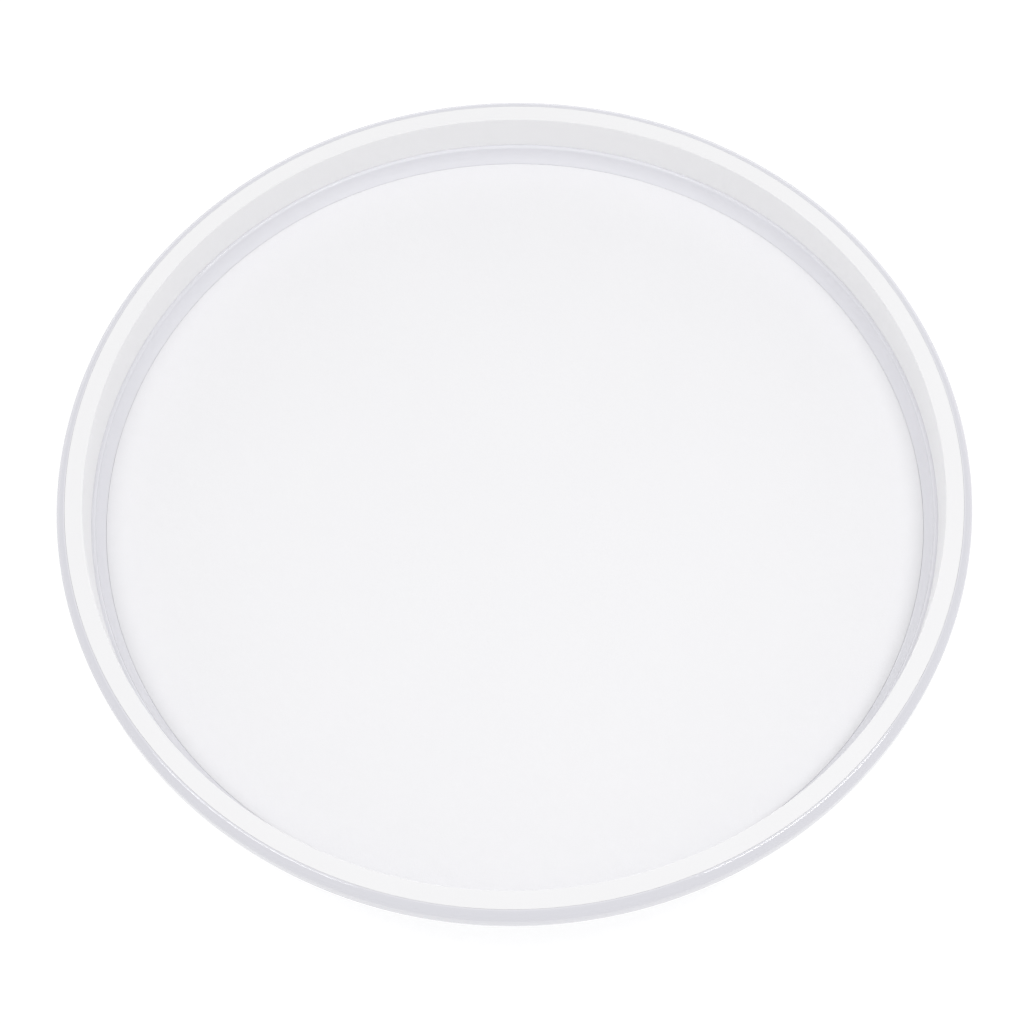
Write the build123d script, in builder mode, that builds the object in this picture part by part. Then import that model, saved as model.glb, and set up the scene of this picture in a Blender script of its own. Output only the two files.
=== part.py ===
from build123d import *
import math
import os

os.makedirs("parts", exist_ok=True)

# Lazy susan turntable: a round walled tray that turns on a ring of balls over a small fixed base.
# Millimetres, +Z up. The origin is on the turning axis, on the worktop that the feet stand on.

# ---------------------------------------------------------------------------------------------
# Driving dimensions
# ---------------------------------------------------------------------------------------------

# Whole object
tray_diameter = 305.0           # over the widest part of the rim
overall_height = 38.0           # from the worktop to the flat top of the rim

# Rim of the tray
rim_flat_width = 5.9            # flat land on top of the rim
rim_round = 3.1                 # quarter round outside the land
skirt_lift = 2.8                # from the floor's underside up to the skirt's lower edge
skirt_drop = 4.3                # straight drop below the quarter round, before the skirt leans in
skirt_lean = 4.4                # how much narrower the skirt is at its lower edge, on the radius
skirt_knee_round = 8.0          # round between the straight drop and the leaning part
skirt_wall = 2.0
skirt_edge_round = 0.6          # fillets along the skirt's lower edge
rim_roof = 2.0                  # plastic under the soft band, on top of the rim

# Inner wall and floor of the tray
wall_draft = 0.4                # inner wall leans in by this much over the height of the band
wall_backing = 1.5              # plastic behind the soft band
ledge_width = 1.2               # ledge that the soft band stands on, inwards from the band's face
ledge_round = 0.8               # round along the ledge's edge, above the cove
cove_radius = 6.9               # hollow round between ledge and floor
cove_lap = 1.4                  # how far the mat's top stands above the bottom of the cove
floor_thickness = 2.4
floor_rib_height = 2.2
rib_thickness = 1.6
inner_rib_count = 12            # between the centre boss and the race
outer_rib_count = 24            # between the race and the wall, and the gussets in the rim
gusset_foot_slope = 35.0        # degrees below level, round the cove, where a gusset ends
rib_root = 1.0                  # how far a rib's root runs into what it joins

# Soft pieces on the tray
band_thickness = 1.0
mat_thickness = 1.2

# Ball race
ball_diameter = 6.0
ball_count = 16
race_radius = 80.0              # radius of the ring of ball centres
race_lip_height = 1.0           # lips that guide the balls, above and below
race_lip_width = 2.0
track_rise = 0.6                # base's track stands this much above its plate
track_drop = 2.8                # tray's track hangs this much below its floor
cage_width = 13.0
cage_web = 5.5                  # plastic between a ball and the slots beside it
cage_slot_width = 5.0

# Base
base_wall = 2.2
base_rib_height = 1.5
base_rib_count = 12
base_edge_round = 1.0

# Feet
foot_count = 6
foot_diameter = 12.0
foot_stand_off = 1.5            # how far the base clears the worktop
foot_pocket_depth = 1.0
foot_boss_wall = 0.8            # wall of the low boss round each foot's pocket
foot_boss_gap = 0.5             # plate left between a boss and the race or the upturned edge
foot_edge_round = 0.6

# Pivot
shoulder_diameter = 8.0
screw_head_diameter = 13.0
screw_head_height = 1.9
screw_head_recess = 1.3         # from the base's underside up to the screw head
screw_thread_diameter = 4.0
hex_key_size = 4.0              # across the flats
hex_key_depth = 1.2
bush_wall = 2.0
bush_flange_width = 2.0
bush_flange_thickness = 0.8
washer_outer_diameter = 18.0
washer_thickness = 0.8
slip_washer_outer_diameter = 19.0
slip_washer_thickness = 0.6
hub_recess_diameter = 32.0
boss_wall = 5.0                 # plastic round the screw thread in the tray's boss
pilot_roof = 0.8                # plastic left over the blind pilot hole
pilot_spare = 0.5               # empty end of the pilot hole

# Clearances
ball_play = 0.05                # ball to track, above and below
race_side_clearance = 0.3       # ball to lip
cage_pocket_clearance = 0.15    # ball to cage, all round
shoulder_clearance = 0.05       # running fit, on the radius
press_clearance = 0.02          # bush in the hub, on the radius
thread_clearance = 0.05         # screw thread in its pilot hole, on the radius
thrust_play = 0.05              # between screw head, washer and slip washer
slip_washer_play = 0.1          # slip washer to the hub above it
washer_bore_clearance = 0.3     # washers round the shoulder, on the radius
boss_clearance = 0.3            # bush flange to the tray's boss
dust_skirt_clearance = 1.0      # base's upturned edge to the tray's ribs
soft_clearance = 0.1            # round faces of the soft pieces to the plastic

# ---------------------------------------------------------------------------------------------
# Heights, from the worktop up
# ---------------------------------------------------------------------------------------------
base_bottom = foot_stand_off
plate_top = base_bottom + base_wall
lower_track = plate_top + track_rise
lower_lip_top = lower_track + race_lip_height
ball_center = lower_track + ball_play + ball_diameter / 2
upper_track = ball_center + ball_diameter / 2 + ball_play
upper_lip_bottom = upper_track - race_lip_height
floor_underside = upper_track + track_drop
floor_top = floor_underside + floor_thickness
mat_top = floor_top + mat_thickness
cove_top = mat_top + cove_radius - cove_lap
ledge_top = cove_top + ledge_round
rim_top = overall_height
band_seat = rim_top - band_thickness
skirt_bottom = floor_underside + skirt_lift
rib_bottom = floor_underside - floor_rib_height
dust_skirt_top = rib_bottom - dust_skirt_clearance

head_bottom = base_bottom + screw_head_recess
head_top = head_bottom + screw_head_height
washer_bottom = head_top + thrust_play
slip_washer_bottom = washer_bottom + washer_thickness + thrust_play
hub_underside = slip_washer_bottom + slip_washer_thickness + slip_washer_play
hub_top = hub_underside + base_wall
bush_flange_top = hub_top + bush_flange_thickness
boss_bottom = bush_flange_top + boss_clearance
pilot_top = floor_top - pilot_roof

# ---------------------------------------------------------------------------------------------
# Radii
# ---------------------------------------------------------------------------------------------
tray_radius = tray_diameter / 2
rim_flat_outer = tray_radius - rim_round
rim_flat_inner = rim_flat_outer - rim_flat_width
wall_radius = rim_flat_inner - wall_draft
band_back = rim_flat_inner + band_thickness
wall_back = band_back + wall_backing
ledge_radius = wall_radius - ledge_width
cove_center = ledge_radius - cove_radius
cove_foot = cove_center + math.sqrt(cove_radius**2 - (cove_radius - cove_lap) ** 2)
skirt_shoulder = rim_top - rim_round
skirt_knee = skirt_shoulder - skirt_drop

ball_radius = ball_diameter / 2
lip_reach = race_lip_height - ball_play
channel_half_width = math.sqrt(ball_radius**2 - (ball_radius - lip_reach) ** 2) + race_side_clearance
race_inner = race_radius - channel_half_width - race_lip_width
race_outer = race_radius + channel_half_width + race_lip_width
cage_thickness = ball_radius
cage_inner = race_radius - cage_width / 2
cage_outer = race_radius + cage_width / 2
ball_pitch = 2 * math.pi * race_radius / ball_count

foot_radius = foot_diameter / 2
foot_pocket_radius = foot_radius + soft_clearance
foot_boss_radius = foot_pocket_radius + foot_boss_wall
foot_circle = race_outer + foot_boss_gap + foot_boss_radius
base_radius = foot_circle + foot_boss_radius + foot_boss_gap + base_wall

shoulder_radius = shoulder_diameter / 2
bush_bore = shoulder_radius + shoulder_clearance
bush_radius = bush_bore + bush_wall
bush_flange_radius = bush_radius + bush_flange_width
bush_hole = bush_radius + press_clearance
washer_bore = shoulder_radius + washer_bore_clearance
hub_recess_radius = hub_recess_diameter / 2
hub_radius = hub_recess_radius + base_wall
thread_radius = screw_thread_diameter / 2
pilot_radius = thread_radius + thread_clearance
boss_radius = pilot_radius + boss_wall


# A hair's breadth either side of a height, to pick the edges that lie on it
touch = 0.01


def skirt_radius(height):
    """Radius of the skirt's outer face, which drops straight and then leans in to its lower edge."""
    share = max(0.0, skirt_knee - height) / (skirt_knee - skirt_bottom)
    return tray_radius - skirt_lean * share


def radial_planes(count, first_turn=0.0):
    """Upright planes through the axis, X outwards and Y up, evenly turned round it."""
    planes = []
    for number in range(count):
        turn = math.radians(first_turn + 360.0 * number / count)
        outwards = (math.cos(turn), math.sin(turn), 0)
        across = (math.sin(turn), -math.cos(turn), 0)
        planes.append(Plane(origin=(0, 0, 0), x_dir=outwards, z_dir=across))
    return planes


def section(inner, outer, bottom, top):
    """One rectangle of a ring's or rib's cross-section, in the upright sketch in hand."""
    with Locations(((inner + outer) / 2, (bottom + top) / 2)):
        Rectangle(outer - inner, top - bottom)


def circles_at(part, height):
    """The round edges of a part that lie at this height."""
    circles = part.edges().filter_by(GeomType.CIRCLE)
    return circles.filter_by_position(Axis.Z, height - touch, height + touch)


def polar_point(radius, turn, height):
    """A point at this radius and height, turned this many degrees round the axis."""
    angle = math.radians(turn)
    return (radius * math.cos(angle), radius * math.sin(angle), height)


# ---------------------------------------------------------------------------------------------
# Tray: floor, cove, inner wall and the downturned rim in one moulding, with its ribs below,
# the upper track of the ball race and the boss that the pivot screw cuts its thread in.
# ---------------------------------------------------------------------------------------------
with BuildPart() as tray:
    with BuildSketch(Plane.XZ):
        with BuildLine():
            Line((0, floor_underside), (cove_center, floor_underside))
            EllipticalCenterArc(
                (cove_center, cove_top),
                wall_back - cove_center,
                cove_top - floor_underside,
                start_angle=270,
                arc_size=90,
            )
            Polyline(
                (wall_back, cove_top),
                (wall_back, band_seat - rim_roof),
                (tray_radius - skirt_wall, band_seat - rim_roof),
                (tray_radius - skirt_wall, skirt_knee),
                (skirt_radius(skirt_bottom) - skirt_wall, skirt_bottom),
                (skirt_radius(skirt_bottom), skirt_bottom),
                (tray_radius, skirt_knee),
                (tray_radius, skirt_shoulder),
            )
            RadiusArc((tray_radius, skirt_shoulder), (rim_flat_outer, rim_top), -rim_round)
            Polyline(
                (rim_flat_outer, rim_top),
                (rim_flat_outer, band_seat),
                (band_back, band_seat),
                (band_back, ledge_top),
                (ledge_radius + ledge_round, ledge_top),
            )
            RadiusArc((ledge_radius + ledge_round, ledge_top), (ledge_radius, cove_top), -ledge_round)
            RadiusArc((ledge_radius, cove_top), (cove_foot, mat_top), cove_radius)
            Polyline((cove_foot, mat_top), (cove_foot, floor_top), (0, floor_top), (0, floor_underside))
        make_face()
        section(race_inner, race_outer, upper_track, floor_underside)
        section(race_inner, race_inner + race_lip_width, upper_lip_bottom, upper_track)
        section(race_outer - race_lip_width, race_outer, upper_lip_bottom, upper_track)
        section(0, boss_radius, boss_bottom, floor_underside)
    revolve(axis=Axis.Z)
    fillet(circles_at(tray, skirt_bottom), skirt_edge_round)
    fillet(circles_at(tray, skirt_knee), skirt_knee_round)
    rib_top = floor_underside + rib_root
    with BuildSketch(*radial_planes(inner_rib_count)):
        section(boss_radius - rib_root, race_inner + rib_root, rib_bottom, rib_top)
    extrude(amount=rib_thickness / 2, both=True)
    with BuildSketch(*radial_planes(outer_rib_count)):
        section(race_outer - rib_root, cove_center, rib_bottom, rib_top)
    extrude(amount=rib_thickness / 2, both=True)
    gusset_top = band_seat - rim_roof / 2
    wall_middle = (band_back + wall_back) / 2
    cove_middle_width = (cove_radius + wall_back - cove_center) / 2
    cove_middle_depth = (cove_radius + cove_top - floor_underside) / 2
    slope = math.radians(gusset_foot_slope)
    gusset_foot_radius = cove_center + cove_middle_width * math.cos(slope)
    gusset_foot_height = cove_top - cove_middle_depth * math.sin(slope)
    with BuildSketch(*radial_planes(outer_rib_count)):
        with BuildLine():
            Polyline(
                (wall_middle, cove_top),
                (wall_middle, gusset_top),
                (rim_flat_outer, gusset_top),
                (tray_radius - skirt_wall / 2, skirt_shoulder),
                (tray_radius - skirt_wall / 2, skirt_knee),
                (skirt_radius(gusset_foot_height) - skirt_wall / 2, gusset_foot_height),
                (gusset_foot_radius, gusset_foot_height),
                close=True,
            )
        make_face()
    extrude(amount=rib_thickness / 2, both=True)
    with BuildSketch(Plane.XY.offset(boss_bottom)):
        Circle(pilot_radius)
    extrude(amount=pilot_top - boss_bottom, mode=Mode.SUBTRACT)
tray.part.label = "tray"
export_step(tray.part, "parts/tray.step")

# Soft band: an angle section bonded over the top of the rim and down the inner wall, for grip.
with BuildPart() as rim_band:
    with BuildSketch(Plane.XZ):
        with BuildLine():
            Polyline(
                (wall_radius, ledge_top),
                (rim_flat_inner, rim_top),
                (rim_flat_outer - soft_clearance, rim_top),
                (rim_flat_outer - soft_clearance, band_seat),
                (band_back - soft_clearance, band_seat),
                (band_back - soft_clearance, ledge_top),
                close=True,
            )
        make_face()
    revolve(axis=Axis.Z)
rim_band.part.label = "rim_band"
export_step(rim_band.part, "parts/rim_band.step")

# Non-slip mat: lies in the shallow pocket of the floor, flush with the foot of the cove.
with BuildPart() as floor_mat:
    with BuildSketch(Plane.XY.offset(floor_top)):
        Circle(cove_foot - soft_clearance)
    extrude(amount=mat_thickness)
floor_mat.part.label = "floor_mat"
export_step(floor_mat.part, "parts/floor_mat.step")

# ---------------------------------------------------------------------------------------------
# Base: fixed disc with the lower track, a raised hub for the pivot, an upturned edge that keeps
# crumbs out of the race, ribs on top and pockets for the feet below.
# ---------------------------------------------------------------------------------------------
with BuildPart() as base:
    with BuildSketch(Plane.XZ):
        section(hub_recess_radius, base_radius, base_bottom, plate_top)
        section(hub_recess_radius, hub_radius, base_bottom, hub_top)
        section(bush_hole, hub_radius, hub_underside, hub_top)
        section(race_inner, race_outer, plate_top, lower_track)
        section(race_inner, race_inner + race_lip_width, lower_track, lower_lip_top)
        section(race_outer - race_lip_width, race_outer, lower_track, lower_lip_top)
        section(base_radius - base_wall, base_radius, base_bottom, dust_skirt_top)
    revolve(axis=Axis.Z)
    base_rib_top = plate_top + base_rib_height
    with BuildSketch(*radial_planes(base_rib_count)):
        section(hub_radius - rib_root, race_inner + rib_root, plate_top - rib_root, base_rib_top)
    extrude(amount=rib_thickness / 2, both=True)
    with BuildSketch(Plane.XY.offset(plate_top)):
        with PolarLocations(foot_circle, foot_count):
            Circle(foot_boss_radius)
    extrude(amount=foot_pocket_depth)
    with BuildSketch(Plane.XY.offset(base_bottom)):
        with PolarLocations(foot_circle, foot_count):
            Circle(foot_pocket_radius)
    extrude(amount=foot_pocket_depth, mode=Mode.SUBTRACT)
    fillet(circles_at(base, base_bottom).sort_by(SortBy.RADIUS)[-1], base_edge_round)
base.part.label = "base"
export_step(base.part, "parts/base.step")

# Feet: rubber pads seated in the base's pockets, with a rounded lower edge.
for foot_number in range(foot_count):
    foot_turn = 360.0 * foot_number / foot_count
    foot_name = f"foot_{foot_number + 1}"
    foot_height = foot_stand_off + foot_pocket_depth
    with BuildPart() as foot:
        with Locations(polar_point(foot_circle, foot_turn, 0)):
            Cylinder(foot_radius, foot_height, align=(Align.CENTER, Align.CENTER, Align.MIN))
        fillet(circles_at(foot, 0), foot_edge_round)
    foot.part.label = foot_name
    export_step(foot.part, f"parts/{foot_name}.step")

# ---------------------------------------------------------------------------------------------
# Ball bearing: steel balls between the two tracks, spaced by a plastic cage whose round pockets
# hold it up at the height of the ball centres.
# ---------------------------------------------------------------------------------------------
with BuildPart() as ball_cage:
    cage_bottom = ball_center - cage_thickness / 2
    cage_slot_length = ball_pitch - ball_diameter - 2 * cage_web
    with BuildSketch(Plane.XY.offset(cage_bottom)):
        Circle(cage_outer)
        Circle(cage_inner, mode=Mode.SUBTRACT)
        with PolarLocations(race_radius, ball_count, start_angle=180.0 / ball_count):
            SlotOverall(cage_slot_length, cage_slot_width, rotation=90, mode=Mode.SUBTRACT)
    extrude(amount=cage_thickness)
    with Locations(Plane.XY.offset(ball_center)):
        with PolarLocations(race_radius, ball_count):
            Sphere(ball_radius + cage_pocket_clearance, mode=Mode.SUBTRACT)
ball_cage.part.label = "ball_cage"
export_step(ball_cage.part, "parts/ball_cage.step")

for ball_number in range(ball_count):
    ball_turn = 360.0 * ball_number / ball_count
    ball_name = f"bearing_ball_{ball_number + 1:02d}"
    with BuildPart() as bearing_ball:
        with Locations(polar_point(race_radius, ball_turn, ball_center)):
            Sphere(ball_radius)
    bearing_ball.part.label = ball_name
    export_step(bearing_ball.part, f"parts/{ball_name}.step")

# ---------------------------------------------------------------------------------------------
# Pivot: a flanged bush pressed into the hub, and a shoulder screw that hangs the base from the
# tray's boss, with a steel washer under its head and a slip washer against the hub.
# ---------------------------------------------------------------------------------------------
with BuildPart() as pivot_bush:
    with BuildSketch(Plane.XZ):
        section(bush_bore, bush_radius, hub_underside, bush_flange_top)
        section(bush_bore, bush_flange_radius, hub_top, bush_flange_top)
    revolve(axis=Axis.Z)
pivot_bush.part.label = "pivot_bush"
export_step(pivot_bush.part, "parts/pivot_bush.step")

with BuildPart() as pivot_screw:
    thread_top = pilot_top - pilot_spare
    with BuildSketch(Plane.XZ):
        section(0, screw_head_diameter / 2, head_bottom, head_top)
        section(0, shoulder_radius, head_top, boss_bottom)
        section(0, thread_radius, boss_bottom, thread_top)
    revolve(axis=Axis.Z)
    with BuildSketch(Plane.XY.offset(head_bottom)):
        RegularPolygon(radius=hex_key_size / 2, side_count=6, major_radius=False)
    extrude(amount=hex_key_depth, mode=Mode.SUBTRACT)
pivot_screw.part.label = "pivot_screw"
export_step(pivot_screw.part, "parts/pivot_screw.step")

with BuildPart() as retaining_washer:
    with BuildSketch(Plane.XY.offset(washer_bottom)):
        Circle(washer_outer_diameter / 2)
        Circle(washer_bore, mode=Mode.SUBTRACT)
    extrude(amount=washer_thickness)
retaining_washer.part.label = "retaining_washer"
export_step(retaining_washer.part, "parts/retaining_washer.step")

with BuildPart() as slip_washer:
    with BuildSketch(Plane.XY.offset(slip_washer_bottom)):
        Circle(slip_washer_outer_diameter / 2)
        Circle(washer_bore, mode=Mode.SUBTRACT)
    extrude(amount=slip_washer_thickness)
slip_washer.part.label = "slip_washer"
export_step(slip_washer.part, "parts/slip_washer.step")
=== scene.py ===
# %% [markdown]
# # A white lazy susan turntable
#
# The object is a round tray with a low wall, which turns on a ring of steel balls over a small base.
# This lesson takes the engineer's exact model as a fixed frame and gives it its looks: the pieces that
# show are modelled again with smooth, finely rounded surfaces, and every piece gets a finish.
# The frame is loaded first, because all sizes and places below are read from it.

# %% Load the fixed frame
import math

import bmesh
import bpy
from mathutils import Matrix, Vector


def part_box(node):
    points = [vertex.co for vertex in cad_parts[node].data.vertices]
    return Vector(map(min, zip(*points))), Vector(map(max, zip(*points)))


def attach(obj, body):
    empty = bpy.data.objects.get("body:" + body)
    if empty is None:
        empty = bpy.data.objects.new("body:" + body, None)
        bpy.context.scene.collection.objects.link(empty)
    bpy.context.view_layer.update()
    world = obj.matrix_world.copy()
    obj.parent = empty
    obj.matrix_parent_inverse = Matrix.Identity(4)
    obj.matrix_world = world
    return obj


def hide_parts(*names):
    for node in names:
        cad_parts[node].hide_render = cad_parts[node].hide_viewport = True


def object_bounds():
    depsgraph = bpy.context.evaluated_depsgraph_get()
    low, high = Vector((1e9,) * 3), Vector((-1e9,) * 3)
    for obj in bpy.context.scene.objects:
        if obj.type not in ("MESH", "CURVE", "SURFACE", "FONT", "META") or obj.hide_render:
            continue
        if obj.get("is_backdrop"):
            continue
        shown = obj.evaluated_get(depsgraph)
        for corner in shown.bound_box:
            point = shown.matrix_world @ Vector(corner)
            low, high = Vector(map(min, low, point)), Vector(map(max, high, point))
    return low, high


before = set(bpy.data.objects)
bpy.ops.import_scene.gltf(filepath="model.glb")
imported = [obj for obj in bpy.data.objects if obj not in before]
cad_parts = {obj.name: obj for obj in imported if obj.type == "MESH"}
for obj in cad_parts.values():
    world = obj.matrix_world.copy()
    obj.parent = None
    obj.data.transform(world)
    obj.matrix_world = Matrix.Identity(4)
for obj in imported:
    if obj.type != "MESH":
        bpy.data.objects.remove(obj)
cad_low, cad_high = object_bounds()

# %% [markdown]
# ## The sizes that everything shares
#
# The lowest and highest corners of a node's box give the rim's height, the widest radius, the height of
# the mat and so on. The few sizes that no box can tell, such as the radius of a round, are given in
# millimetres times `MM`, because Blender counts in metres.

# %% Sizes read from the frame
MM = 0.001
tray_low, tray_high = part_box("tray")
band_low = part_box("rim_band")[0]
mat_low, mat_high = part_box("floor_mat")
base_low, base_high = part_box("base")
ball_low, ball_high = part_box("bearing_ball_01")
bush_low, bush_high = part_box("pivot_bush")
foot_low, foot_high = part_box("foot_1")

tray_radius = tray_high.x
rim_top = tray_high.z
ledge_top = band_low.z
mat_radius = mat_high.x
floor_top = mat_low.z
mat_top = mat_high.z
ball_radius = (ball_high.z - ball_low.z) / 2
race_radius = ball_high.x - ball_radius
print(f"tray {2 * tray_radius / MM:.1f} mm across, its rim {rim_top / MM:.1f} mm up")
print(f"mat {2 * mat_radius / MM:.1f} mm across, its top {mat_top / MM:.1f} mm up")

# %% Sizes that no box can tell
soft_clearance = 0.1 * MM       # round faces of the soft pieces to the plastic, out of sight
seam_gap = 0.04 * MM            # the same where it shows, since soft edges are pressed home
band_thickness = 1.0 * MM
wall_draft = 0.4 * MM           # how much the band's inner face leans in from the rim to the ledge
wall_backing = 1.5 * MM         # plastic behind the soft band
rim_round = 3.1 * MM            # quarter round outside the soft band
rim_roof = 2.0 * MM             # plastic under the soft band
skirt_drop = 4.3 * MM           # straight drop below the quarter round, before the skirt leans in
skirt_lean = 4.4 * MM           # how much narrower the skirt is at its lower edge, on the radius
skirt_lift = 2.8 * MM           # from the floor's underside up to the skirt's lower edge
skirt_wall = 2.0 * MM
ledge_width = 1.2 * MM          # ledge that the soft band stands on
ledge_round = 0.8 * MM
cove_radius = 6.9 * MM          # hollow round between the ledge and the floor
floor_thickness = 2.4 * MM
rim_flat_width = 5.9 * MM       # flat land on top of the rim

band_seat = rim_top - band_thickness
skirt_shoulder = rim_top - rim_round
skirt_knee = skirt_shoulder - skirt_drop
rim_flat_outer = tray_radius - rim_round
rim_flat_inner = rim_flat_outer - rim_flat_width
wall_radius = rim_flat_inner - wall_draft
band_back = rim_flat_inner + band_thickness
wall_back = band_back + wall_backing
ledge_radius = wall_radius - ledge_width
cove_top = ledge_top - ledge_round
cove_center = ledge_radius - cove_radius
cove_foot = mat_radius + soft_clearance
floor_underside = floor_top - floor_thickness
skirt_bottom = floor_underside + skirt_lift
print(f"well {(rim_top - mat_top) / MM:.1f} mm deep, cove centred on radius {cove_center / MM:.1f} mm")

# %% [markdown]
# ## The camera
#
# The view looks down steeply, so that the turntable shows as a slightly squashed circle with the far
# wall open to the eye. The camera stands five rim radii away, straight in front, and is tilted a touch
# about its own line of sight, as a camera on a hand-set tripod is. It comes early, because the size and
# the framing of everything that follows are judged through it.

# %% Place the camera
camera_rise = math.radians(63.7)
camera_roll = math.radians(-1.8)
camera_distance = 5 * rim_flat_outer
looked_at = Vector((-0.8 * MM, -14.6 * MM, rim_top))  # in front of the axis, at rim height

camera = bpy.data.cameras.new("camera")
camera.lens = 79.5              # these two are in plain millimetres
camera.sensor_width = 36
viewer = bpy.data.objects.new("camera", camera)
bpy.context.scene.collection.objects.link(viewer)
towards_camera = Vector((0, -math.cos(camera_rise), math.sin(camera_rise)))
camera_place = looked_at + camera_distance * towards_camera
camera_turn = (-towards_camera).to_track_quat("-Z", "Y").to_matrix().to_4x4()
viewer.matrix_world = Matrix.Translation(camera_place) @ camera_turn @ Matrix.Rotation(camera_roll, 4, "Z")
bpy.context.scene.camera = viewer
print(f"camera {camera_distance / MM:.0f} mm from the place that it looks at,", end=" ")
print(f"looking down at {math.degrees(camera_rise):.1f} degrees")

# %% [markdown]
# ## How a turned piece is drawn
#
# Nearly every piece here is round, so it is made as on a lathe. Half of its outline is drawn in the
# upright XZ plane, with X as the radius: one point is placed, and then extruded into straight strokes
# or spun into rounds. The finished outline is spun once round the Z axis. A stack of cylinders would
# also do, but its steps would have to be joined and rounded one by one, while an outline carries the
# exact hollow and convex rounds of the moulding.

# %% Helpers: selection
TOUCH = 0.01 * MM               # two places closer than this count as the same
WELD = TOUCH / 5                # doubled points closer than this are merged


def select_only(*pieces):
    """Leaves just these objects selected, the last of them active."""
    bpy.ops.object.select_all(action="DESELECT")
    for piece in pieces:
        piece.select_set(True)
        bpy.context.view_layer.objects.active = piece


def leave_edit():
    """Goes back to object mode and hands over the piece."""
    bpy.ops.object.mode_set(mode="OBJECT")
    return bpy.context.object


def select_points(test):
    """In edit mode, selects just the points whose place passes a test, and counts them."""
    bpy.ops.mesh.select_all(action="DESELECT")
    bpy.ops.mesh.select_mode(type="VERT")
    shape = bmesh.from_edit_mesh(bpy.context.object.data)
    chosen = [point for point in shape.verts if test(point.co)]
    for point in chosen:
        point.select_set(True)
    shape.select_flush(True)
    bmesh.update_edit_mesh(bpy.context.object.data)
    return len(chosen)


# %% Helpers: drawing an outline
def pen_place():
    """Place of the one selected point, where the outline has got to."""
    shape = bmesh.from_edit_mesh(bpy.context.object.data)
    return next(point.co.copy() for point in shape.verts if point.select)


def start_outline(name, radius, height):
    """Starts a new piece as a single point, left in edit mode and ready to be drawn out."""
    bpy.ops.object.select_all(action="DESELECT")
    bpy.ops.mesh.primitive_plane_add(size=MM)
    bpy.context.object.name = name
    bpy.context.object.data.name = name
    bpy.ops.object.mode_set(mode="EDIT")
    bpy.ops.mesh.select_all(action="SELECT")
    bpy.ops.mesh.merge(type="CENTER")
    bpy.ops.transform.translate(value=(radius, 0, height))


def line_to(radius, height):
    """Draws one straight stroke from the pen's place."""
    pen = pen_place()
    stroke = (radius - pen.x, 0, height - pen.z)
    bpy.ops.mesh.extrude_vertices_move(TRANSFORM_OT_translate={"value": stroke})


def round_about(radius, height, degrees, steps):
    """Draws a round by spinning the pen about a centre, anticlockwise as seen from the front."""
    center = (radius, 0, height)
    bpy.ops.mesh.spin(steps=steps, angle=math.radians(degrees), center=center, axis=(0, 1, 0))


def soften_corner(radius, height, size, segments=3):
    """Rounds one corner of the outline."""
    found = select_points(lambda p: abs(p.x - radius) < TOUCH and abs(p.z - height) < TOUCH)
    assert found == 1, f"no single corner at {radius / MM:.2f}, {height / MM:.2f}"
    bpy.ops.mesh.bevel(offset=size, segments=segments, affect="VERTICES")


# %% [markdown]
# ## From outline to finished mesh
#
# One full spin leaves a seam where the last copy meets the first, and a heap of equal points wherever
# the outline touches the axis. Merging by distance closes both, and only then are the normals turned
# outwards. A smooth shade with an angle limit keeps real corners crisp. The weighted-normal modifier
# lets each large flat face set the shading of its own edges, so a gloss runs clean over a flat and
# turns only where the surface does.

# %% Helpers: spinning and finishing
RING_STEPS = 288                # pieces that a full circle is cut into
CREASE = math.radians(38)       # edges that turn by more than this stay crisp


def spin_outline(steps=RING_STEPS):
    """Spins the outline once round the Z axis into a closed skin that faces outwards."""
    bpy.ops.mesh.select_all(action="SELECT")
    bpy.ops.mesh.spin(steps=steps, angle=math.tau, center=(0, 0, 0), axis=(0, 0, 1))
    close_skin()
    return leave_edit()


def close_skin():
    """Merges doubled points and turns all faces outwards."""
    bpy.ops.mesh.select_all(action="SELECT")
    bpy.ops.mesh.remove_doubles(threshold=WELD)
    bpy.ops.mesh.normals_make_consistent(inside=False)


def apply_modifier(piece, kind, **settings):
    """Adds a modifier of a kind, sets it and applies it."""
    select_only(piece)
    bpy.ops.object.modifier_add(type=kind)
    modifier = piece.modifiers[-1]
    for setting, value in settings.items():
        setattr(modifier, setting, value)
    bpy.ops.object.modifier_apply(modifier=modifier.name)


def finish_shading(piece):
    """Smooths the shading up to a crease, and lets large faces rule it."""
    select_only(piece)
    bpy.ops.object.shade_smooth_by_angle(angle=CREASE)
    apply_modifier(piece, "WEIGHTED_NORMAL", keep_sharp=True)


def tell(piece):
    """Prints a piece's size and whether its skin is closed."""
    shape = bmesh.new()
    shape.from_mesh(piece.data)
    open_edges = sum(1 for edge in shape.edges if len(edge.link_faces) != 2)
    volume = shape.calc_volume(signed=True) / MM**3 / 1000
    triangles = len(shape.calc_loop_triangles())
    shape.free()
    print(f"{piece.name}: {triangles} triangles, {open_edges} open edges, {volume:.2f} cubic centimetres")


# %% [markdown]
# ## The tray
#
# The tray is one injection moulding. From the middle outwards it has a flat floor, a shallow step that
# holds the mat, a hollow round or cove, a narrow rounded ledge, the rebate for the soft band, a quarter
# round, and a skirt that drops straight and then leans in towards the worktop. Below are the upper
# track of the ball race and the boss for the pivot screw. All of this is one outline. The hollow and
# convex rounds are spun with many small steps, because a gloss shows every facet.

# %% Tray: the upper side of its outline
def skirt_radius(height):
    """Radius of the skirt's outer face, which drops straight and then leans in to its lower edge."""
    share = max(0.0, skirt_knee - height) / (skirt_knee - skirt_bottom)
    return tray_radius - skirt_lean * share


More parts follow.
